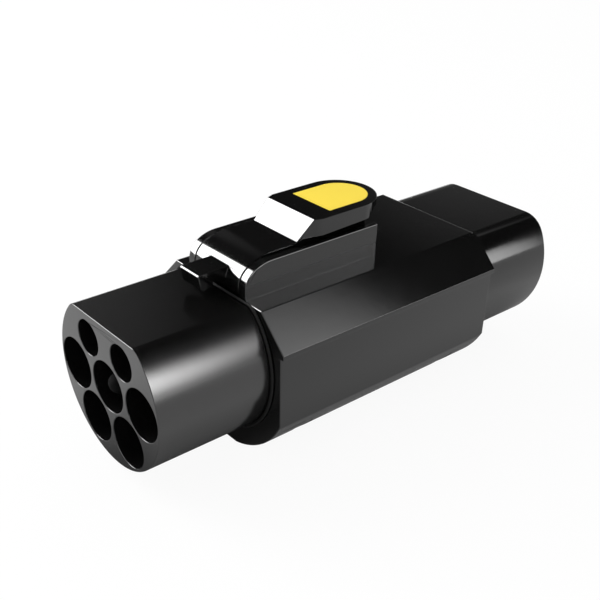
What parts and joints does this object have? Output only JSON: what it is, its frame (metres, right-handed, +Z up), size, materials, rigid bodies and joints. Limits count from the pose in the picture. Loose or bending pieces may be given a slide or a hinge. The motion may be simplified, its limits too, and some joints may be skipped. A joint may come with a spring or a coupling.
{
  "type": "electric vehicle charging adapter",
  "caption": "Straight charging adapter: D-shaped contact plug in front, hooked release lever with a thumb pad on a faceted body, and an open D-shaped inlet nose behind.",
  "frame": {"origin": "centre of the bounding box's underside, on the surface the adapter rests on", "axes": "+Y along the adapter from the plug's face to the rear nose, +X across it, +Z up through the lever"},
  "size_m": [0.0598, 0.1564, 0.0667],
  "materials": {
    "housing_plastic": "satin black moulding",
    "plug_plastic": "satin black moulding",
    "seal_rubber": "matte",
    "insulator_plastic": "matte",
    "contact_silver": "silver plated, satin",
    "wire_insulation": "matte",
    "earth_insulation": "matte",
    "inlay_yellow": "satin",
    "steel": "zinc plated",
    "board_green": "satin"
  },
  "bodies": {
    "adapter": {"top_shell": "housing_plastic", "bottom_shell": "housing_plastic", "front_plug": "plug_plastic", "nose_seal": "seal_rubber", "front_clamp_plate": "insulator_plastic", "rear_socket": "housing_plastic", "rear_gasket": "seal_rubber", "rear_clamp_plate": "insulator_plastic", "front_pin_earth": "contact_silver", "front_pin_neutral": "contact_silver", "front_pin_line_1": "contact_silver", "front_pin_line_2": "contact_silver", "front_pin_line_3": "contact_silver", "front_pin_pilot": "contact_silver", "front_pin_proximity": "contact_silver", "front_tip_earth": "insulator_plastic", "front_tip_neutral": "insulator_plastic", "front_tip_line_1": "insulator_plastic", "front_tip_line_2": "insulator_plastic", "front_tip_line_3": "insulator_plastic", "front_tip_pilot": "insulator_plastic", "front_tip_proximity": "insulator_plastic", "rear_pin_earth": "contact_silver", "rear_pin_neutral": "contact_silver", "rear_pin_line_1": "contact_silver", "rear_pin_line_2": "contact_silver", "rear_pin_line_3": "contact_silver", "rear_pin_pilot": "contact_silver", "rear_pin_proximity": "contact_silver", "rear_tip_earth": "insulator_plastic", "rear_tip_neutral": "insulator_plastic", "rear_tip_line_1": "insulator_plastic", "rear_tip_line_2": "insulator_plastic", "rear_tip_line_3": "insulator_plastic", "rear_tip_pilot": "insulator_plastic", "rear_tip_proximity": "insulator_plastic", "wire_earth": "earth_insulation", "wire_neutral": "wire_insulation", "wire_line_1": "wire_insulation", "wire_line_2": "wire_insulation", "wire_line_3": "wire_insulation", "wire_pilot": "wire_insulation", "wire_proximity": "wire_insulation", "latch_pin": "steel", "latch_spring": "steel", "lock_switch": "insulator_plastic", "lock_board": "board_green", "housing_screws": "steel", "screw_plugs": "seal_rubber", "front_clamp_screws": "steel", "rear_clamp_screws": "steel"},
    "lever": {"latch_lever": "housing_plastic", "pad_inlay": "inlay_yellow"},
    "plunger": {"switch_plunger": "inlay_yellow"}
  },
  "joints": [
    {"name": "lever_press", "type": "hinge", "parent": "adapter", "child": "lever", "pos_m": [0, -0.02825, 0.055], "axis": [-1, 0, 0], "range_deg": [0, 6], "stiffness_Nm_per_rad": 0.6, "springref_deg": -11.46, "deforming": ["latch_spring"]},
    {"name": "plunger_press", "type": "slide", "parent": "adapter", "child": "plunger", "axis": [0, 0, -1], "range_m": [0, 0.0016]}
  ],
  "couplings": [
    {"joint": "plunger_press", "follows": "lever_press", "m_per_rad": 0.015}
  ]
}
